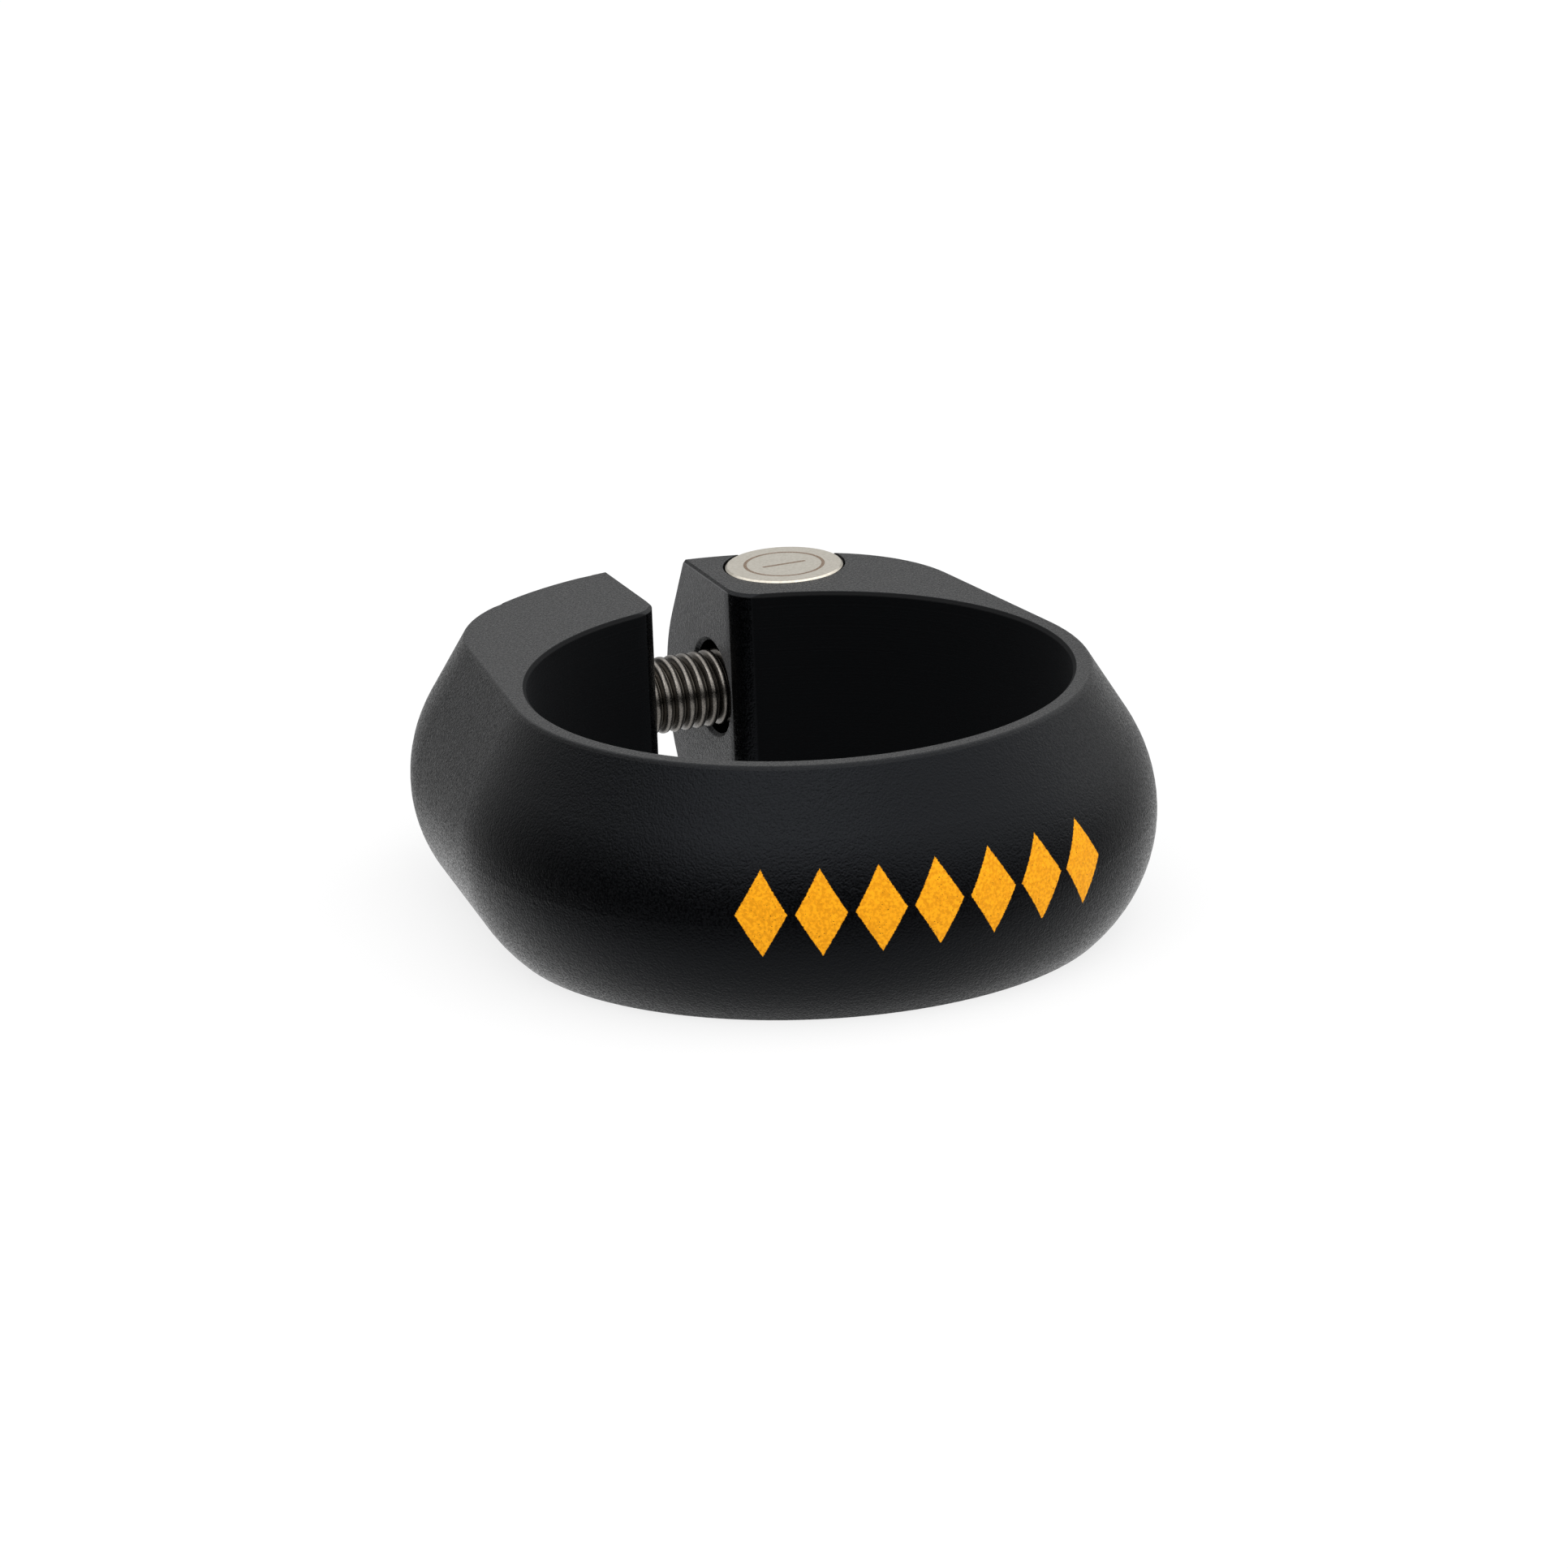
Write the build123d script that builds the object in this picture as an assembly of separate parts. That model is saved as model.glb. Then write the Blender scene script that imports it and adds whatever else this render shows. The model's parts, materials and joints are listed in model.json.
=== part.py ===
import math
import os

from build123d import *

# Seatpost clamp: a split ring with a swelling outer wall, drawn shut by a cross bolt.
# Millimetres. The origin is on the bore axis at the underside, +Z runs up the bore,
# +Y points to the slit and +X to the lug that holds the bolt head.

# Ring
bore_diameter = 35.0
clamp_height = 16.7
rim_wall = 1.2  # top rim, from the bore to the outer edge
belly_height = 7.3  # widest line of the outer wall, above the underside
belly_round = 10.4  # radius of the swelling above its widest line
wall_slope = 30.3  # lean of the outer wall at the top, degrees from upright
foot_slope = 48.6  # lean of the outer wall at the underside
edge_break = 0.2  # chamfer round the bore and the slit at the top
edge_round = 0.25  # outer edges at top and bottom

# Lugs
lug_depth = 9.3  # bore wall to the back edge, at the top
crown_step = 2.7  # radius of the back edge beyond that of the rim
lug_corner = 10.8  # corner between the back edge and a flank, in plan
lug_lean = 8.1  # lean of the flanks, in plan
slit_width = 5.25
slit_round = 2.5  # inner corners of the slit

# Barrel washer
barrel_diameter = 7.7
barrel_proud = 0.05  # end face above the top of the lug
barrel_floor = 1.6  # metal left under the barrel
barrel_seat = 1.6  # depth of the flat that the bolt head bears on
barrel_edge = 0.12
pocket_wall = 1.4  # metal between the slit and the barrel's pocket
pocket_clearance = 0.15

# Bolt, M5 socket head
thread_diameter = 5.0
bolt_length = 20.0
bolt_inset = 4.8  # bore wall to the bolt's axis
bolt_point = 0.6
head_diameter = 8.5
head_height = 5.0
head_round = 0.5
hex_across = 4.0
hex_depth = 2.5
drill_point = 118.0

# Room round the bolt
thread_clearance = 0.05
barrel_hole_clearance = 0.25
lug_hole_clearance = 0.6
head_clearance = 0.4
seat_gap = 0.2  # bolt head to the barrel's flat, with the bolt slack
tap_spare = 1.5  # tapped hole beyond the bolt's tip
hole_chamfer = 0.25

# Places that follow from the sizes above
bore_radius = bore_diameter / 2
rim_radius = bore_radius + rim_wall
lug_reach = bore_radius + lug_depth
crown_radius = rim_radius + crown_step
crown_y = lug_reach - crown_radius
slope = math.radians(wall_slope)
foot = math.radians(foot_slope)
lean = math.radians(lug_lean)

round_drop = belly_round * (1 - math.cos(slope))
round_rise = belly_round * math.sin(slope)
belly_swell = round_drop + (clamp_height - belly_height - round_rise) * math.tan(slope)
foot_swell = belly_swell - belly_height * math.tan(foot / 2)
outer_reach = lug_reach + belly_swell

bolt_y = bore_radius + bolt_inset
bolt_z = (barrel_floor + clamp_height + barrel_proud) / 2
pocket_radius = barrel_diameter / 2 + pocket_clearance
barrel_x = slit_width / 2 + pocket_wall + pocket_radius
seat_x = barrel_x + barrel_diameter / 2 - barrel_seat
head_x = seat_x + seat_gap
tip_x = head_x - bolt_length
recess_diameter = head_diameter + 2 * head_clearance


def bolt_line_cylinder(diameter, start_x, end_x):
    """A cylinder on the bolt's axis, from one place along X to another."""
    plane = Plane((start_x, bolt_y, bolt_z), x_dir=(0, 1, 0), z_dir=(1, 0, 0))
    return extrude(plane * Circle(diameter / 2), end_x - start_x)


def bolt_line_cone(start_diameter, end_diameter, start_x, end_x):
    """A cone on the bolt's axis, whose diameter changes along X."""
    profile = make_face(
        Polyline(
            (start_x, bolt_y),
            (end_x, bolt_y),
            (end_x, bolt_y + end_diameter / 2),
            (start_x, bolt_y + start_diameter / 2),
            close=True,
        )
    )
    return revolve(Pos(0, 0, bolt_z) * profile, Axis((0, bolt_y, bolt_z), (1, 0, 0)))


def drilled_point(diameter, start_x, way):
    """The cone that a drill leaves beyond start_x, along X in the direction way."""
    depth = diameter / 2 / math.tan(math.radians(drill_point / 2))
    return bolt_line_cone(diameter, 0.01 * diameter, start_x, start_x + way * depth)


def top_outline():
    """The clamp's outer edge at the top, from the slit round by the head side and back."""
    inset = rim_radius - lug_corner
    along = crown_y * math.cos(lean) + math.sqrt(
        (crown_radius - lug_corner) ** 2 - (inset - crown_y * math.sin(lean)) ** 2
    )
    normal = Vector(math.cos(lean), math.sin(lean))
    corner = normal * inset + Vector(-math.sin(lean), math.cos(lean)) * along
    turn = math.degrees(math.atan2(corner.Y - crown_y, corner.X))

    crown = CenterArc((0, crown_y), crown_radius, turn, 90 - turn)
    bend = CenterArc(corner, lug_corner, lug_lean, turn - lug_lean)
    flank = Line(normal * rim_radius, corner + normal * lug_corner)
    ring = CenterArc((0, 0), rim_radius, 180 - lug_lean, 180 + 2 * lug_lean)
    half = [crown, bend, flank]
    return Wire(half + [ring] + [edge.mirror(Plane.YZ) for edge in half])


def wall_section():
    """The outer wall's section at the back of the slit, outwards from the top outline."""
    widest = (belly_swell, belly_height)
    high = (belly_swell - round_drop, belly_height + round_rise)
    edges = [
        Line((-rim_wall, 0), (foot_swell, 0)),
        TangentArc(widest, (foot_swell, 0), tangent=(0, -1)),
        TangentArc(widest, high, tangent=(0, 1)),
        Line(high, (0, clamp_height)),
        Line((0, clamp_height), (-rim_wall, clamp_height)),
        Line((-rim_wall, clamp_height), (-rim_wall, 0)),
    ]
    section = make_face(edges)
    ends = section.vertices().group_by(Axis.Y)
    corners = [ends[0].sort_by(Axis.X)[-1], ends[-1].sort_by(Axis.X)[-1]]
    plane = Plane((0, lug_reach, 0), x_dir=(0, 1, 0), z_dir=(1, 0, 0))
    return plane * fillet(corners, edge_round)


def is_inner(edge):
    """Whether an edge of the top face belongs to the bore or the slit."""
    middle = edge @ 0.5
    in_bore = math.hypot(middle.X, middle.Y) < bore_radius + rim_wall / 2
    in_slit = middle.Y > 0 and abs(middle.X) < slit_width / 2 + slit_round
    return in_bore or in_slit


def split_ring():
    """The ring and its lugs, with the bore and the slit but no holes for the bolt."""
    outline = top_outline()
    core = offset(make_face(outline), -rim_wall / 2)
    ring = extrude(core, clamp_height) + sweep(wall_section(), path=outline)
    ring -= Pos(0, 0, clamp_height / 2) * Cylinder(bore_radius, clamp_height)
    ring -= Pos(0, outer_reach / 2, clamp_height / 2) * Box(slit_width, outer_reach, clamp_height)

    mouth_y = math.sqrt(bore_radius**2 - (slit_width / 2) ** 2)
    uprights = ring.edges().filter_by(Axis.Z)
    mouth = [edge for edge in uprights if abs(edge.center().Y - mouth_y) < slit_round / 2]
    ring = fillet(mouth, slit_round)

    top = ring.faces().sort_by(Axis.Z)[-1]
    return chamfer([edge for edge in top.edges() if is_inner(edge)], edge_break)


def clamp_body():
    body = split_ring()

    pocket = Circle(pocket_radius)
    body -= extrude(Pos(barrel_x, bolt_y, barrel_floor) * pocket, clamp_height - barrel_floor)

    lug_hole = thread_diameter + 2 * lug_hole_clearance
    face_x = slit_width / 2
    body -= bolt_line_cylinder(lug_hole, 0, barrel_x)
    body -= bolt_line_cone(lug_hole + 2 * hole_chamfer, lug_hole, face_x, face_x + hole_chamfer)
    body -= bolt_line_cylinder(recess_diameter, seat_x - seat_gap, outer_reach)

    tapped = thread_diameter + 2 * thread_clearance
    tapped_end = tip_x - tap_spare
    body -= bolt_line_cylinder(tapped, 0, tapped_end)
    body -= bolt_line_cone(tapped + 2 * hole_chamfer, tapped, -face_x, -face_x - hole_chamfer)
    body -= drilled_point(tapped, tapped_end, -1)
    return body


def clamp_bolt():
    shank = bolt_line_cylinder(thread_diameter, head_x, tip_x)
    shank = chamfer(shank.edges().sort_by(Axis.X)[0], bolt_point)
    head = bolt_line_cylinder(head_diameter, head_x, head_x + head_height)
    head = fillet(head.edges().sort_by(Axis.X)[-1], head_round)

    socket_x = head_x + head_height - hex_depth
    socket_plane = Plane((socket_x, bolt_y, bolt_z), x_dir=(0, 1, 0), z_dir=(1, 0, 0))
    socket = RegularPolygon(hex_across / 2, 6, major_radius=False)
    head -= extrude(socket_plane * socket, hex_depth)
    head -= drilled_point(hex_across, socket_x, -1)
    return shank + head


def barrel_washer():
    length = clamp_height + barrel_proud - barrel_floor
    barrel = extrude(Pos(barrel_x, bolt_y, barrel_floor) * Circle(barrel_diameter / 2), length)
    barrel = chamfer(barrel.edges().filter_by(GeomType.CIRCLE), barrel_edge)
    hole = thread_diameter + 2 * barrel_hole_clearance
    barrel -= bolt_line_cylinder(hole, 0, outer_reach)
    barrel -= bolt_line_cylinder(recess_diameter, seat_x, outer_reach)
    return barrel


os.makedirs("parts", exist_ok=True)
export_step(clamp_body(), "parts/clamp_body.step")
export_step(clamp_bolt(), "parts/clamp_bolt.step")
export_step(barrel_washer(), "parts/barrel_washer.step")
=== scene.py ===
import json
import math

import bpy
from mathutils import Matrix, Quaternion, Vector


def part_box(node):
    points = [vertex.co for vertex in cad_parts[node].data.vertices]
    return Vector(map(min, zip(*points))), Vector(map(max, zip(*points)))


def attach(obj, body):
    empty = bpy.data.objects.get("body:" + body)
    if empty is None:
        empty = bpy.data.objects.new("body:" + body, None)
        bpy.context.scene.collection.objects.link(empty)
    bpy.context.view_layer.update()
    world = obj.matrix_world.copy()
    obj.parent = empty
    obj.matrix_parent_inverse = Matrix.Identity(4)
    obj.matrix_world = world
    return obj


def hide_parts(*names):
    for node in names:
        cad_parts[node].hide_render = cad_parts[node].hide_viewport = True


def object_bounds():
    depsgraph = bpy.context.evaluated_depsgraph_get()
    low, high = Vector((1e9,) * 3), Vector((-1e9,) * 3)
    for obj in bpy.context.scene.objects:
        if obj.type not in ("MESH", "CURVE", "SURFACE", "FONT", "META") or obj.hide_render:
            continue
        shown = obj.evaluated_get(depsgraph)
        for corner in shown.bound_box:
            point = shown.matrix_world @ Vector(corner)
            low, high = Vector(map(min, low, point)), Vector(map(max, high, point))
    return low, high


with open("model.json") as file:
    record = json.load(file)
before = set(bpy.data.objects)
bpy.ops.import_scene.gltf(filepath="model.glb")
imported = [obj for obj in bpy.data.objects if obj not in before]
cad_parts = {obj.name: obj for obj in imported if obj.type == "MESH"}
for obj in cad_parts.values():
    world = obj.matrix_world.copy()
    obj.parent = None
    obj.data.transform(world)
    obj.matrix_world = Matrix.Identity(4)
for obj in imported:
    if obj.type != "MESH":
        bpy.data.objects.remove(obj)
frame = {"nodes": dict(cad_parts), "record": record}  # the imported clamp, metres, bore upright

mm = 0.001
cadLow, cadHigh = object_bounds()
print("clamp loaded, nodes:", ", ".join(sorted(frame["nodes"])))


# Small helpers for node trees

def addNode(tree, kind, inputs=None, **settings):  # an input is a socket to link, or a plain value
    node = tree.nodes.new(kind)
    for key, value in settings.items():
        setattr(node, key, value)
    for key, value in (inputs or {}).items():
        if isinstance(value, bpy.types.NodeSocket):
            tree.links.new(value, node.inputs[key])
        else:
            node.inputs[key].default_value = value
    return node


def calc(tree, operation, *values):
    return addNode(tree, "ShaderNodeMath", dict(enumerate(values)), operation=operation).outputs[0]


def fade(tree, value, start, end, low=0.0, high=1.0):  # smooth step from low to high
    inputs = dict(enumerate((value, start, end, low, high)))
    return addNode(tree, "ShaderNodeMapRange", inputs, interpolation_type="SMOOTHSTEP").outputs[0]


def blend(tree, amount, under, over):  # colours, under where amount is 0
    inputs = {0: amount, 6: under, 7: over}
    return addNode(tree, "ShaderNodeMix", inputs, data_type="RGBA", clamp_factor=True).outputs[2]


def noise(tree, place, scale, detail):
    inputs = {"Vector": place, "Scale": scale, "Detail": detail}
    return addNode(tree, "ShaderNodeTexNoise", inputs).outputs[0]


def splitAxes(tree, place):
    axes = addNode(tree, "ShaderNodeSeparateXYZ", {0: place}).outputs
    return axes[0], axes[1], axes[2]


def lengthOf(tree, first, second):  # of two offsets at right angles
    square = calc(tree, "MULTIPLY_ADD", first, first, calc(tree, "MULTIPLY", second, second))
    return calc(tree, "SQRT", square)


def addBump(tree, height, look):
    inputs = {"Height": height, "Strength": look["bump"], "Distance": look["bumpDepth"]}
    return addNode(tree, "ShaderNodeBump", inputs).outputs[0]


def newMaterial(name, **settings):
    material = bpy.data.materials.new(name)
    material.use_nodes = True
    tree = material.node_tree
    tree.nodes.clear()
    shader = addNode(tree, "ShaderNodeBsdfPrincipled", settings)
    addNode(tree, "ShaderNodeOutputMaterial", {"Surface": shader.outputs[0]})
    place = addNode(tree, "ShaderNodeTexCoord").outputs["Object"]
    return material, tree, shader, place


def feed(tree, shader, **sockets):
    for name, socket in sockets.items():
        tree.links.new(socket, shader.inputs[name.replace("_", " ")])


def newGroup(name, inputs, outputs):
    group = bpy.data.node_groups.new(name, "ShaderNodeTree")
    for label, kind in inputs.items():
        group.interface.new_socket(name=label, in_out="INPUT", socket_type=kind)
    for label, kind in outputs.items():
        group.interface.new_socket(name=label, in_out="OUTPUT", socket_type=kind)
    source = addNode(group, "NodeGroupInput")
    target = addNode(group, "NodeGroupOutput")
    return group, source, target


def useGroup(tree, group, inputs):
    return addNode(tree, "ShaderNodeGroup", inputs, node_tree=group).outputs


# Finishes that several materials share

grainShape = {
    "pitDetail": 3.0,
    "lumpScale": 0.45,  # against the pits
    "lumpDetail": 1.0,
    "lumpHeight": 0.4,  # against the pits
    "fleckRange": (0.3, 0.7),
}
markShape = {
    "detail": 2.0,
    "shadeRange": (0.3, 0.7),
}


def blastGrainGroup():
    group, source, target = newGroup(
        "blastGrain",
        {"Position": "NodeSocketVector", "Grains Per Metre": "NodeSocketFloat"},
        {"Height": "NodeSocketFloat", "Fleck": "NodeSocketFloat"},
    )
    position = source.outputs["Position"]
    density = source.outputs["Grains Per Metre"]
    pits = noise(group, position, density, grainShape["pitDetail"])
    coarse = calc(group, "MULTIPLY", density, grainShape["lumpScale"])
    lumps = noise(group, position, coarse, grainShape["lumpDetail"])
    height = calc(group, "MULTIPLY_ADD", lumps, grainShape["lumpHeight"], pits)
    group.links.new(height, target.inputs["Height"])
    group.links.new(fade(group, pits, *grainShape["fleckRange"]), target.inputs["Fleck"])
    return group


def turnedMarksGroup():
    group, source, target = newGroup(
        "turnedMarks",
        {"Travel": "NodeSocketFloat", "Pitch": "NodeSocketFloat"},
        {"Height": "NodeSocketFloat", "Shade": "NodeSocketFloat"},
    )
    turns = calc(group, "DIVIDE", source.outputs["Travel"], source.outputs["Pitch"])
    inputs = {"W": turns, "Scale": 1.0, "Detail": markShape["detail"]}
    rings = addNode(group, "ShaderNodeTexNoise", inputs, noise_dimensions="1D").outputs[0]
    group.links.new(rings, target.inputs["Height"])
    group.links.new(fade(group, rings, *markShape["shadeRange"]), target.inputs["Shade"])
    return group


blastGrain = blastGrainGroup()
turnedMarks = turnedMarksGroup()


# Clamp body: blasted, black anodised, with a row of gold lozenges opposite the slit

clampLook = {
    "black": (0.0004, 0.0004, 0.0005, 1),
    # the grain's paler flecks
    "paleFleckAndUnshaded": (0.0012, 0.0012, 0.0014, 1),
    "paintedTopLight": (0.007, 0.007, 0.007, 1),  # the flat top, paler: painted light from above on the same anodised black
    "slitGrey": (0.09, 0.09, 0.092, 1),  # the slit's faces, lighter grey
    # painted shade inside the bore
    "paintedBoreShade": (0.0002, 0.0002, 0.0002, 1),
    "grainsPerMetre": 7000.0,
    "bump": 1.0,
    "bumpDepth": 0.045 * mm,
    "roughness": (0.12, 0.42),
    "boreRoughness": 0.95,
    "specular": 0.115,
    "specularTint": (0.84, 0.9, 1.0, 1),
    "boreWall": 0.25 * mm,  # how far from the bore its wall reaches, darker there with painted shade
    "borePitch": 0.16 * mm,
    "topDepth": 0.25 * mm,
    "slitHalf": 2.665 * mm,
    "slitSoft": 0.01,  # share of slitHalf over which the slit's grey ends
}
printLook = {
    "count": 7,
    "spacing": 3.8 * mm,
    "width": 3.3 * mm,
    "height": 5.6 * mm,
    "level": 8.1 * mm,  # middle of the row above the underside
    "radius": 22.3 * mm,  # belly of the ring
    "inner": 20.0 * mm,  # nothing is printed inside this radius
    "gold": (0.64, 0.243, 0.001, 1),
    "paleGold": (0.84, 0.350, 0.004, 1),
    "ragged": 0.10,
    "edgeSoft": 0.02,
    "specksPerMetre": 9000.0,
    "speckDetail": 1.0,
    "bareSpecks": (0.24, 0.30),  # pinholes in the ink
    "mottlesPerMetre": 5000.0,
    "mottleDetail": 3.0,
    "mottleRange": (0.35, 0.65),
    "roughness": 0.5,
}


def goldPrint(tree, place, x, y, z, radius):
    ahead = calc(tree, "MULTIPLY", y, -1.0)
    along = calc(tree, "MULTIPLY", calc(tree, "ARCTAN2", x, ahead), printLook["radius"])
    cell = calc(tree, "FRACT", calc(tree, "MULTIPLY_ADD", along, 1 / printLook["spacing"], 0.5))
    across = calc(tree, "ABSOLUTE", calc(tree, "SUBTRACT", cell, 0.5))
    across = calc(tree, "MULTIPLY", across, 2 * printLook["spacing"] / printLook["width"])
    upward = calc(tree, "ABSOLUTE", calc(tree, "SUBTRACT", z, printLook["level"]))
    edge = calc(tree, "MULTIPLY_ADD", upward, 2 / printLook["height"], across)
    specks = noise(tree, place, printLook["specksPerMetre"], printLook["speckDetail"])
    ragged = calc(tree, "MULTIPLY_ADD", specks, printLook["ragged"], edge)
    limit = 1 + printLook["ragged"] / 2
    inside = fade(tree, ragged, limit - printLook["edgeSoft"], limit + printLook["edgeSoft"], 1.0, 0.0)
    half = printLook["count"] * printLook["spacing"] / 2
    inRow = calc(tree, "LESS_THAN", calc(tree, "ABSOLUTE", along), half)
    outside = calc(tree, "GREATER_THAN", radius, printLook["inner"])
    mask = calc(tree, "MULTIPLY", calc(tree, "MULTIPLY", inside, inRow), outside)
    mask = calc(tree, "MULTIPLY", mask, fade(tree, specks, *printLook["bareSpecks"]))
    mottle = noise(tree, place, printLook["mottlesPerMetre"], printLook["mottleDetail"])
    pale = fade(tree, mottle, *printLook["mottleRange"])
    ink = blend(tree, pale, printLook["gold"], printLook["paleGold"])
    return mask, ink


def anodisedBlack(boreRadius, top):
    material, tree, shader, place = newMaterial("anodisedBlack", **{
        "Specular IOR Level": clampLook["specular"],
        "Specular Tint": clampLook["specularTint"],
    })
    x, y, z = splitAxes(tree, place)
    radius = lengthOf(tree, x, y)
    grainInputs = {"Position": place, "Grains Per Metre": clampLook["grainsPerMetre"]}
    grain = useGroup(tree, blastGrain, grainInputs)
    marks = useGroup(tree, turnedMarks, {"Travel": z, "Pitch": clampLook["borePitch"]})

    boreWall, slitHalf = clampLook["boreWall"], clampLook["slitHalf"]
    inBore = fade(tree, radius, boreRadius + boreWall / 2, boreRadius + boreWall, 1.0, 0.0)
    # where the painted light from above goes: a band at the flat top
    paintedTopLightMask = calc(tree, "GREATER_THAN", z, top - clampLook["topDepth"])
    slitEnd = slitHalf * (1 + clampLook["slitSoft"])
    inSlit = fade(tree, calc(tree, "ABSOLUTE", x), slitHalf, slitEnd, 1.0, 0.0)
    inSlit = calc(tree, "MULTIPLY", inSlit, calc(tree, "GREATER_THAN", y, boreRadius))
    mask, ink = goldPrint(tree, place, x, y, z, radius)

    black = blend(tree, grain["Fleck"], clampLook["black"], clampLook["paleFleckAndUnshaded"])
    # painted shade: the bore's wall made darker than the rest of the black
    black = blend(tree, inBore, black, clampLook["paintedBoreShade"])
    # painted light: the flat top made paler, as if lit from above
    black = blend(tree, paintedTopLightMask, black, clampLook["paintedTopLight"])
    black = blend(tree, inSlit, black, clampLook["slitGrey"])
    colour = blend(tree, mask, black, ink)
    rough = fade(tree, grain["Fleck"], 0.0, 1.0, *clampLook["roughness"])
    rough = fade(tree, inBore, 0.0, 1.0, rough, clampLook["boreRoughness"])
    rough = fade(tree, mask, 0.0, 1.0, rough, printLook["roughness"])
    heights = {0: inBore, 2: grain["Height"], 3: marks["Height"]}
    height = addNode(tree, "ShaderNodeMix", heights).outputs[0]
    feed(tree, shader, Base_Color=colour, Roughness=rough, Normal=addBump(tree, height, clampLook))
    return material


# Barrel washer: satin steel, an etched ring and a line along the bolt

barrelLook = {
    "steel": (0.42, 0.39, 0.33, 1),
    "paleSteel": (0.50, 0.47, 0.41, 1),
    "etch": (0.15, 0.10, 0.065, 1),
    "ringRadius": 2.55 * mm,
    "ringWidth": 0.22 * mm,
    "lineLength": 3.0 * mm,
    "lineWidth": 0.26 * mm,
    "etchEdge": (0.8, 1.2),  # where a stroke starts and stops fading, in half widths
    "etchDepth": 1.5,  # against the turning marks
    "endDepth": 0.05 * mm,  # only this end of the barrel is etched
    "burntSpecksPerMetre": 12000.0,
    "burntDetail": 2.0,
    "burntRange": (0.25, 0.55),
    "palestBurn": 0.45,
    "roughness": (0.30, 0.38),
    "etchRoughness": 0.6,
    "markPitch": 0.09 * mm,
    "grainsPerMetre": 5000.0,
    "bump": 0.25,
    "bumpDepth": 0.008 * mm,
}


def etchedStroke(tree, offset, width):  # 1 along the stroke's middle, 0 beside it
    start, end = barrelLook["etchEdge"]
    half = width / 2
    return fade(tree, calc(tree, "ABSOLUTE", offset), half * start, half * end, 1.0, 0.0)


def satinSteel(low, high):
    material, tree, shader, place = newMaterial("satinSteel", Metallic=1.0)
    middle = (low + high) / 2
    x, y, z = splitAxes(tree, place)
    x = calc(tree, "SUBTRACT", x, middle.x)
    y = calc(tree, "SUBTRACT", y, middle.y)
    radius = lengthOf(tree, x, y)
    onEnd = calc(tree, "GREATER_THAN", z, high.z - barrelLook["endDepth"])

    offRing = calc(tree, "SUBTRACT", radius, barrelLook["ringRadius"])
    ring = etchedStroke(tree, offRing, barrelLook["ringWidth"])
    line = etchedStroke(tree, y, barrelLook["lineWidth"])
    reach = calc(tree, "LESS_THAN", calc(tree, "ABSOLUTE", x), barrelLook["lineLength"] / 2)
    line = calc(tree, "MULTIPLY", line, reach)
    specks = noise(tree, place, barrelLook["burntSpecksPerMetre"], barrelLook["burntDetail"])
    burnt = fade(tree, specks, *barrelLook["burntRange"], barrelLook["palestBurn"], 1.0)
    etch = calc(tree, "MULTIPLY", calc(tree, "MAXIMUM", ring, line), onEnd)
    etch = calc(tree, "MULTIPLY", etch, burnt)

    marks = useGroup(tree, turnedMarks, {"Travel": radius, "Pitch": barrelLook["markPitch"]})
    grainInputs = {"Position": place, "Grains Per Metre": barrelLook["grainsPerMetre"]}
    grain = useGroup(tree, blastGrain, grainInputs)
    steel = blend(tree, grain["Fleck"], barrelLook["steel"], barrelLook["paleSteel"])
    colour = blend(tree, etch, steel, barrelLook["etch"])
    rough = fade(tree, marks["Shade"], 0.0, 1.0, *barrelLook["roughness"])
    rough = fade(tree, etch, 0.0, 1.0, rough, barrelLook["etchRoughness"])
    height = calc(tree, "MULTIPLY_ADD", etch, -barrelLook["etchDepth"], marks["Height"])
    feed(tree, shader, Base_Color=colour, Roughness=rough, Normal=addBump(tree, height, barrelLook))
    return material


# Bolt: M5 socket screw with a cut thread

boltSizes = {
    "pitch": 0.8 * mm,
    "threadRoot": 0.06 * mm,  # flat at the bottom of the thread
    "threadRise": ((0.11, 0.22), (0.06, 0.09), (0.08, 0.05), (0.12, 0.02)),  # root to crest, in mm
    "threadDepth": 0.38 * mm,
    "threadRadius": 2.5 * mm,
    "threadLead": 2.5,  # pitches from the helix's start to the tip
    "spareTurns": 4,  # turns of the helix that the blank cuts off
    "threadSteps": 72,
    "blankSpare": 0.1 * mm,  # beyond the crests
    "point": 0.6 * mm,
    "neckRadius": 2.3 * mm,
    "neckLength": 1.6 * mm,  # plain, under the head
    "neckLap": 0.3 * mm,  # into the thread and the head
    "headHeight": 5.0 * mm,
    "headRound": 0.5 * mm,
    "headRoundSteps": 5,
    "underRound": 0.15 * mm,
    "underRoundSteps": 2,
    "headSides": 96,
    "hexAcross": 4.0 * mm,
    "hexDepth": 2.5 * mm,
    "hexMouth": 0.12 * mm,  # chamfer at the socket's mouth, beyond the flats
    "hexGap": 0.02 * mm,  # keeps the drill and the chamfer just clear of the flats
    "hexSpare": 1.0 * mm,  # of the hexagon's cutter beyond the head
    "drillDepth": 1.2 * mm,
    "drillLap": 0.01 * mm,
    "drillSides": 48,
    "nearEnd": 0.01 * mm,  # a point this close to an end lies on it
    "threadMerge": 0.001 * mm,
    "boltMerge": 0.0005 * mm,
    "smoothAngle": 32,  # degrees
}
boltLook = {
    "crest": (0.175, 0.162, 0.147, 1),
    # root: painted shade in the thread's valleys, also the colour of the dirt streaks
    "root": (0.05, 0.045, 0.038, 1),
    "rootShadeFrom": (0.95, 0.7),  # where the painted shade at the root ends, in thread depths under the crest
    "roughness": (0.24, 0.38),
    "streaksPerMetre": 9000.0,
    "streakDetail": 3.0,
    "streakRange": (0.3, 0.7),
    "dirtiest": 0.6,
    "bump": 0.2,
    "bumpDepth": 0.008 * mm,
}


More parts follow.
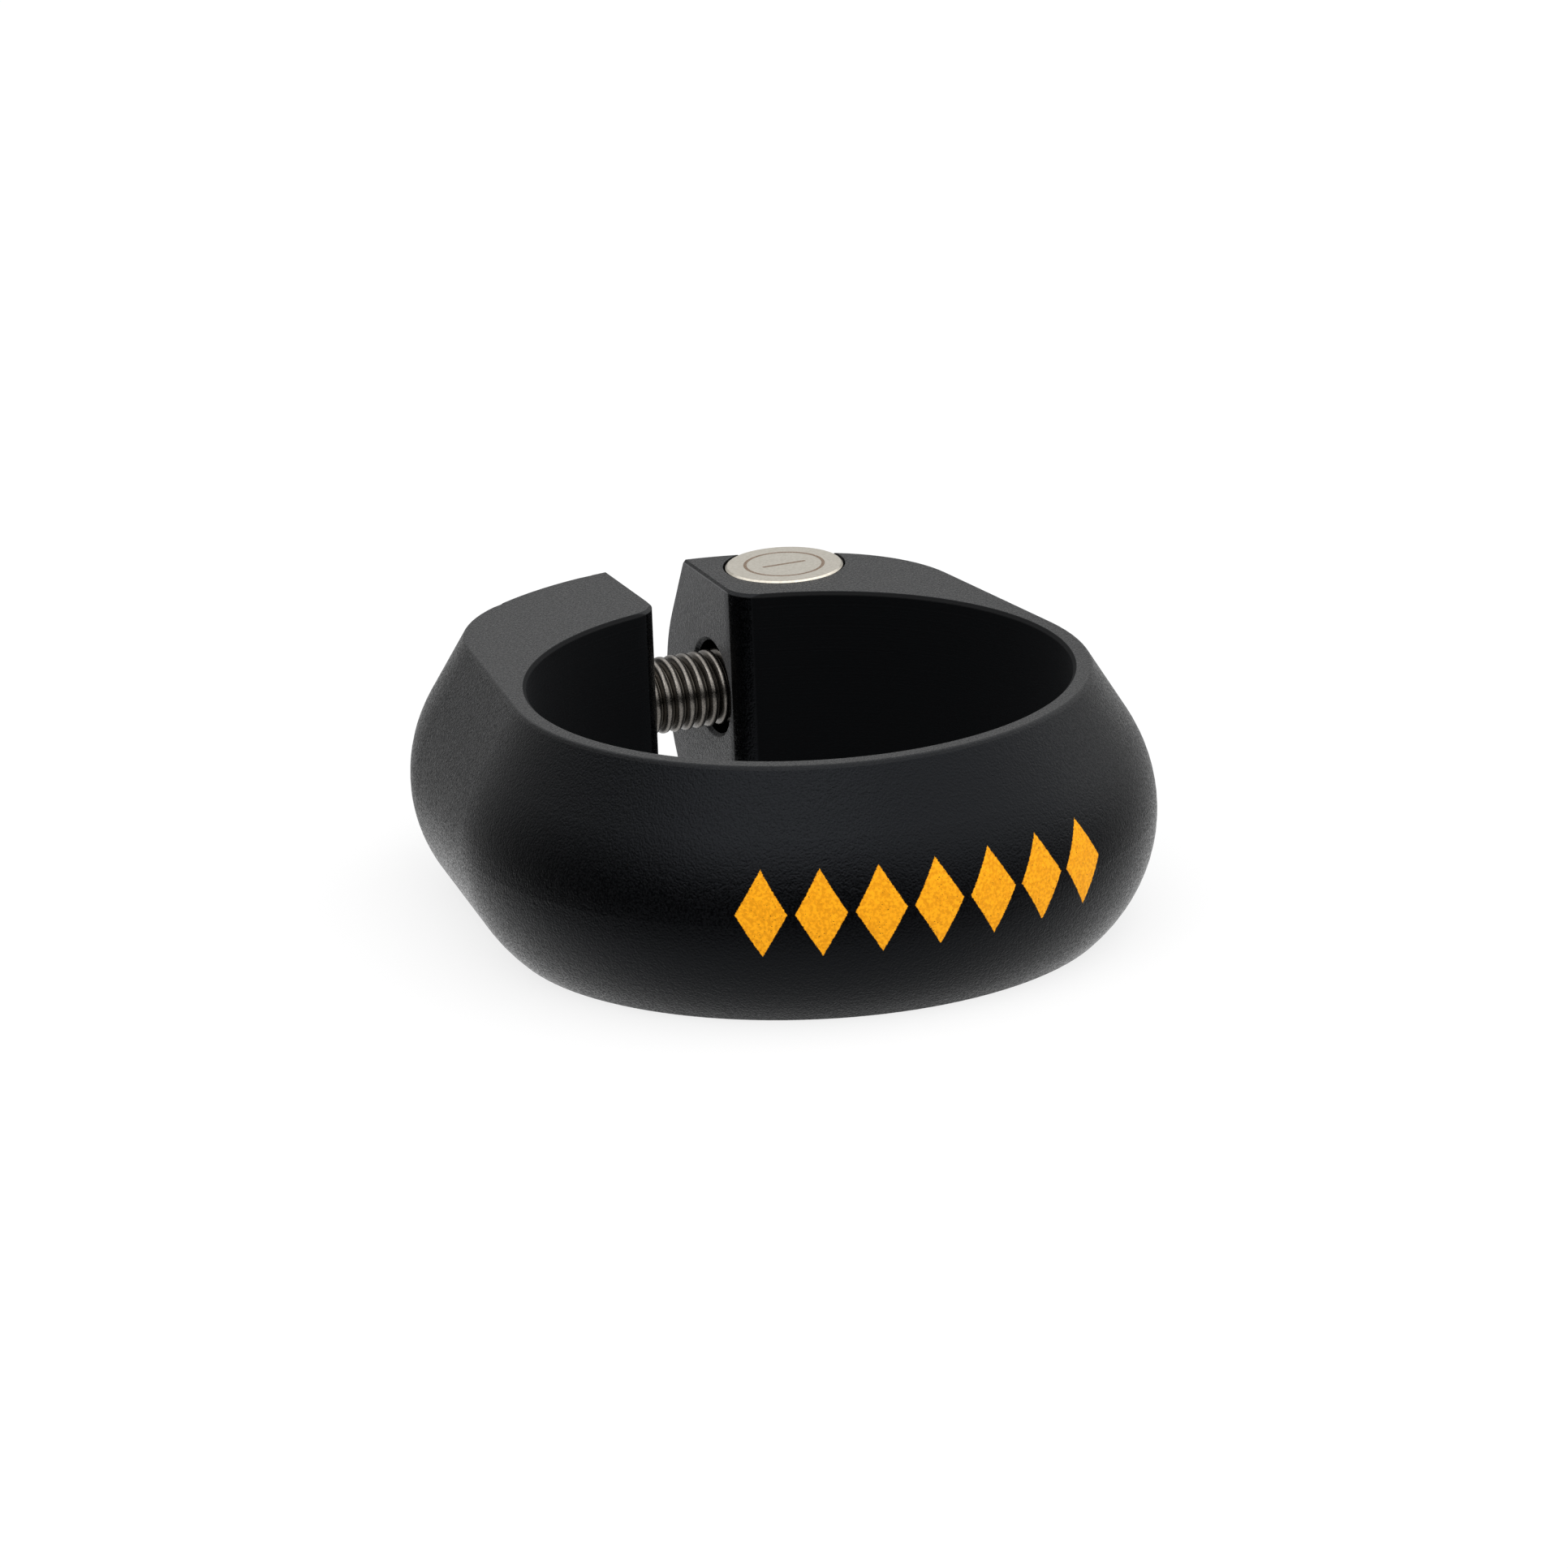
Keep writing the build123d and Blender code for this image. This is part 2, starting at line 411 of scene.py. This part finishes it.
def darkSteel(axisY, axisZ):
    material, tree, shader, place = newMaterial("darkSteel", Metallic=1.0)
    axes = splitAxes(tree, place)
    y = calc(tree, "SUBTRACT", axes[1], axisY)
    z = calc(tree, "SUBTRACT", axes[2], axisZ)
    radius = lengthOf(tree, y, z)
    crest, depth = boltSizes["threadRadius"], boltSizes["threadDepth"]
    start, end = boltLook["rootShadeFrom"]
    # 1 on the crests, 0 in the roots: painted shade in the thread's valleys, by depth
    paleFleckAndUnshaded = fade(tree, radius, crest - start * depth, crest - end * depth)
    streaks = noise(tree, place, boltLook["streaksPerMetre"], boltLook["streakDetail"])
    dirt = fade(tree, streaks, *boltLook["streakRange"], boltLook["dirtiest"], 1.0)
    steel = blend(tree, calc(tree, "MULTIPLY", paleFleckAndUnshaded, dirt), boltLook["root"], boltLook["crest"])
    low, high = boltLook["roughness"]
    rough = fade(tree, streaks, *boltLook["streakRange"], high, low)
    feed(tree, shader, Base_Color=steel, Roughness=rough, Normal=addBump(tree, streaks, boltLook))
    return material


def pick(piece):  # selected alone, and active
    bpy.ops.object.select_all(action="DESELECT")
    piece.select_set(True)
    bpy.context.view_layer.objects.active = piece


def editAll(piece):  # edit mode on one piece, all selected
    pick(piece)
    bpy.ops.object.mode_set(mode="EDIT")
    bpy.ops.mesh.select_mode(type="VERT")
    bpy.ops.mesh.select_all(action="SELECT")


def leaveEdit():
    bpy.ops.object.mode_set(mode="OBJECT")


def faceOutwards():
    bpy.ops.mesh.select_all(action="SELECT")
    bpy.ops.mesh.normals_make_consistent(inside=False)


def selectEdges(piece, wanted):  # edges whose two ends both pass the test
    bpy.ops.mesh.select_all(action="DESELECT")
    bpy.ops.mesh.select_mode(type="EDGE")
    leaveEdit()
    points = [piece.matrix_world @ vertex.co for vertex in piece.data.vertices]
    for edge in piece.data.edges:
        edge.select = all(wanted(points[index]) for index in edge.vertices)
    bpy.ops.object.mode_set(mode="EDIT")


def bevelEdges(piece, wanted, width, steps):
    editAll(piece)
    selectEdges(piece, wanted)
    bpy.ops.mesh.bevel(offset=width, segments=steps, affect="EDGES")
    leaveEdit()


def applyModifier(piece, name, kind, **settings):
    pick(piece)
    modifier = piece.modifiers.new(name, kind)
    for key, value in settings.items():
        setattr(modifier, key, value)
    bpy.ops.object.modifier_apply(modifier=name)


def settle(piece):  # place and turn go into the mesh
    pick(piece)
    bpy.ops.object.transform_apply(location=True, rotation=True, scale=True)


def combine(piece, other, operation):
    settings = {"object": other, "operation": operation, "solver": "EXACT"}
    applyModifier(piece, operation.lower(), "BOOLEAN", **settings)
    bpy.data.objects.remove(other)


def alongBolt(sides, radius, start, end, axis, endRadius=None):  # cylinder or cone lying along X
    bpy.ops.object.select_all(action="DESELECT")
    bpy.ops.mesh.primitive_cone_add(
        vertices=sides,
        radius1=radius,
        radius2=radius if endRadius is None else endRadius,
        depth=end - start,
        location=((start + end) / 2, axis[0], axis[1]),
        rotation=(0, math.pi / 2, 0),
    )
    piece = bpy.context.active_object
    settle(piece)
    return piece


def makeThread(tip, end, axis):  # a closed helix that runs past both ends
    pitch, depth = boltSizes["pitch"], boltSizes["threadDepth"]
    rise = [(forward * mm, outward * mm) for forward, outward in boltSizes["threadRise"]]
    fall = [(forward, -outward) for forward, outward in reversed(rise)]
    profile = [(boltSizes["threadRoot"], 0)] + rise + fall
    start = tip - boltSizes["threadLead"] * pitch
    bpy.ops.object.select_all(action="DESELECT")
    bpy.ops.mesh.primitive_plane_add(size=pitch, location=(start, axis[0], axis[1]))
    thread = bpy.context.active_object
    thread.name = "thread"
    editAll(thread)
    bpy.ops.mesh.merge(type="CENTER")
    bpy.ops.transform.translate(value=(0, 0, boltSizes["threadRadius"] - depth))
    for forward, outward in profile:
        bpy.ops.mesh.extrude_region_move(TRANSFORM_OT_translate={"value": (forward, 0, outward)})
    leaveEdit()
    turns = math.ceil((end - tip) / pitch) + boltSizes["spareTurns"]
    applyModifier(thread, "helix", "SCREW", axis="X", angle=2 * math.pi, screw_offset=pitch,
                  iterations=turns, steps=boltSizes["threadSteps"],
                  render_steps=boltSizes["threadSteps"], use_smooth_shade=True)
    settle(thread)
    editAll(thread)
    bpy.ops.mesh.remove_doubles(threshold=boltSizes["threadMerge"])
    bpy.ops.mesh.fill_holes(sides=0)
    faceOutwards()
    leaveEdit()
    return thread


def makeHead(seat, end, radius, axis):
    near = boltSizes["nearEnd"]
    head = alongBolt(boltSizes["headSides"], radius, seat, end, axis)
    bevelEdges(head, lambda point: point.x > end - near,
               width=boltSizes["headRound"], steps=boltSizes["headRoundSteps"])
    bevelEdges(head, lambda point: point.x < seat + near,
               width=boltSizes["underRound"], steps=boltSizes["underRoundSteps"])

    corner = boltSizes["hexAcross"] / math.sqrt(3)
    bottom = end - boltSizes["hexDepth"]
    combine(head, alongBolt(6, corner, bottom, end + boltSizes["hexSpare"], axis), "DIFFERENCE")
    sides = boltSizes["drillSides"]
    flat = boltSizes["hexAcross"] / 2 - boltSizes["hexGap"]
    deepest = bottom - boltSizes["drillDepth"]
    drill = alongBolt(sides, 0.0, deepest, bottom + boltSizes["drillLap"], axis, flat)
    combine(head, drill, "DIFFERENCE")
    mouth = boltSizes["hexMouth"]
    flare = alongBolt(sides, flat, end - mouth, end + mouth, axis, flat + 2 * mouth)
    combine(head, flare, "DIFFERENCE")
    return head


def makeShank(tip, neck, axis):  # the thread, cut to its length and point
    thread = makeThread(tip, neck, axis)
    spare = boltSizes["blankSpare"]
    blank = alongBolt(boltSizes["headSides"], boltSizes["threadRadius"] + spare, tip, neck, axis)
    bevelEdges(blank, lambda point: point.x < tip + boltSizes["nearEnd"],
               width=boltSizes["point"] + spare, steps=1)
    combine(thread, blank, "INTERSECT")
    return thread


def makeBolt(low, high):
    axis = ((low.y + high.y) / 2, (low.z + high.z) / 2)
    tip, end = low.x, high.x
    seat = end - boltSizes["headHeight"]
    neck = seat - boltSizes["neckLength"]
    lap = boltSizes["neckLap"]

    bolt = makeHead(seat, end, (high.z - low.z) / 2, axis)
    bolt.name = "socket_bolt"
    plain = alongBolt(boltSizes["headSides"], boltSizes["neckRadius"], neck - lap, seat + lap, axis)
    combine(bolt, plain, "UNION")
    combine(bolt, makeShank(tip, neck, axis), "UNION")
    editAll(bolt)
    bpy.ops.mesh.remove_doubles(threshold=boltSizes["boltMerge"])
    bpy.ops.mesh.dissolve_degenerate(threshold=boltSizes["boltMerge"])
    faceOutwards()
    leaveEdit()
    bpy.ops.object.shade_smooth_by_angle(angle=math.radians(boltSizes["smoothAngle"]))
    bolt.data.materials.clear()
    bolt.data.materials.append(darkSteel(*axis))
    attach(bolt, "bolt")
    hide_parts("clamp_bolt")
    print("bolt made,", len(bolt.data.polygons), "faces")


# Studio: white floor and surroundings, three soft lamps

studio = {
    "floorSize": 3.0,
    "floorColour": (0.9, 0.9, 0.9, 1),
    "floorGlow": 0.8,  # share of plain white in the floor as the camera sees it
    "floorGap": 0.02 * mm,  # under the clamp
    "pool": (0.024, 0.05),  # mirrored floor: white to the one radius, dim from the other
    "white": (1, 1, 1, 1),
    "worldLight": 0.3,
    "front": 0.05,  # mirrored white, far out on the floor and low in the world
    "back": 0.64,
    "paleWay": (0.55, 0.83, 0),  # towards the palest part of the surroundings
    "paleRange": (-0.8, 1.0),  # along paleWay
    "skyRise": 0.7,
    "lamps": {
        "overhead": {"place": (-0.05, 0.15, 0.6), "wide": 1.0, "tall": 1.0, "power": 3.2},
        "left": {"place": (-0.317, -0.365, 0.435), "wide": 0.64, "tall": 0.64, "power": 1.95},
        "right": {"place": (0.40, -0.27, 0.435), "wide": 1.6, "tall": 1.0, "power": 6.0},
    },
}


def seenRays(tree):  # rays that look straight at a surface, and mirrored ones
    path = addNode(tree, "ShaderNodeLightPath").outputs
    mirrored = calc(tree, "MAXIMUM", path["Is Glossy Ray"], path["Is Transmission Ray"])
    return path["Is Camera Ray"], mirrored


def surroundings(tree, way):  # dim before the clamp and pale behind it
    inputs = {0: way, 1: studio["paleWay"]}
    facing = addNode(tree, "ShaderNodeVectorMath", inputs, operation="DOT_PRODUCT").outputs["Value"]
    return fade(tree, facing, *studio["paleRange"], studio["front"], studio["back"])


def makeFloor():
    level = cadLow.z - studio["floorGap"]
    bpy.ops.object.select_all(action="DESELECT")
    bpy.ops.mesh.primitive_plane_add(size=studio["floorSize"], location=(0, 0, level))
    floor = bpy.context.active_object
    floor.name = "floor"
    material = bpy.data.materials.new("paleFloor")
    material.use_nodes = True
    tree = material.node_tree
    tree.nodes.clear()
    straight, mirrored = seenRays(tree)
    place = addNode(tree, "ShaderNodeTexCoord").outputs["Object"]
    distance = addNode(tree, "ShaderNodeVectorMath", {0: place}, operation="LENGTH")
    way = addNode(tree, "ShaderNodeVectorMath", {0: place}, operation="NORMALIZE").outputs[0]
    pool = fade(tree, distance.outputs["Value"], *studio["pool"], 1.0, surroundings(tree, way))
    plain = addNode(tree, "ShaderNodeBsdfDiffuse", {"Color": studio["floorColour"]}).outputs[0]
    strength = calc(tree, "MAXIMUM", pool, straight)
    white = addNode(tree, "ShaderNodeEmission", {"Strength": strength}).outputs[0]
    share = calc(tree, "MAXIMUM", calc(tree, "MULTIPLY", straight, studio["floorGlow"]), mirrored)
    mixed = addNode(tree, "ShaderNodeMixShader", {0: share, 1: plain, 2: white})
    addNode(tree, "ShaderNodeOutputMaterial", {"Surface": mixed.outputs[0]})
    floor.data.materials.append(material)


def background(tree, strength):
    inputs = {"Color": studio["white"], "Strength": strength}
    return addNode(tree, "ShaderNodeBackground", inputs).outputs[0]


def makeWorld():
    world = bpy.data.worlds.new("studioWhite")
    world.use_nodes = True
    tree = world.node_tree
    tree.nodes.clear()
    straight, mirrored = seenRays(tree)
    way = addNode(tree, "ShaderNodeTexCoord").outputs["Generated"]
    upward = splitAxes(tree, way)[2]
    sky = fade(tree, upward, 0.0, studio["skyRise"], surroundings(tree, way), 1.0)
    light = background(tree, studio["worldLight"])
    seen = background(tree, calc(tree, "MAXIMUM", sky, straight))
    share = calc(tree, "MAXIMUM", straight, mirrored)
    mixed = addNode(tree, "ShaderNodeMixShader", {0: share, 1: light, 2: seen})
    addNode(tree, "ShaderNodeOutputWorld", {"Surface": mixed.outputs[0]})
    bpy.context.scene.world = world


def makeLamps(target):
    for name, lamp in studio["lamps"].items():
        bpy.ops.object.select_all(action="DESELECT")
        bpy.ops.object.light_add(type="AREA", location=lamp["place"])
        light = bpy.context.active_object
        light.name = name
        light.data.shape = "RECTANGLE"
        light.data.size = lamp["wide"]
        light.data.size_y = lamp["tall"]
        light.data.energy = lamp["power"]
        aim = target - Vector(lamp["place"])
        light.rotation_euler = aim.to_track_quat("-Z", "Y").to_euler()


# Camera, at the photograph's angle

photoView = {
    "azimuth": -21.45,
    "elevation": 18.11,
    "roll": -2.345,
    "distance": 1.10028,
    "aside": -0.987 * mm,  # from the bore's middle at the top, in the picture's plane
    "upward": -6.961 * mm,
    "lens": 395.72,
    "sensor": 36.0,
    "farthest": 10.0,
}


def makeCamera(top):
    azimuth, elevation = math.radians(photoView["azimuth"]), math.radians(photoView["elevation"])
    level = math.cos(elevation)
    back = Vector((math.sin(azimuth) * level, -math.cos(azimuth) * level, math.sin(elevation)))
    turn = (-back).to_track_quat("-Z", "Y") @ Quaternion((0, 0, 1), math.radians(photoView["roll"]))
    target = top + turn @ Vector((photoView["aside"], photoView["upward"], 0))
    bpy.ops.object.select_all(action="DESELECT")
    bpy.ops.object.camera_add(location=target + back * photoView["distance"])
    camera = bpy.context.active_object
    camera.rotation_mode = "QUATERNION"
    camera.rotation_quaternion = turn
    camera.data.sensor_width = photoView["sensor"]
    camera.data.lens = photoView["lens"]
    camera.data.clip_end = photoView["farthest"]
    bpy.context.scene.camera = camera


def dress(node, material):
    piece = frame["nodes"][node]
    piece.data.materials.clear()
    piece.data.materials.append(material)


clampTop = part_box("clamp_body")[1].z
seatTube = next(mount for mount in frame["record"]["mounts"] if mount["name"] == "seat_tube")
dress("clamp_body", anodisedBlack(seatTube["dims"]["r_mm"] * mm, clampTop))
dress("barrel_washer", satinSteel(*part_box("barrel_washer")))
print("clamp and barrel finished")
makeBolt(*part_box("clamp_bolt"))
makeFloor()
makeWorld()
makeLamps(Vector((0, 0, clampTop / 2)))
makeCamera(Vector((0, 0, clampTop)))
bpy.context.scene.view_settings.view_transform = "Standard"
print("studio ready")
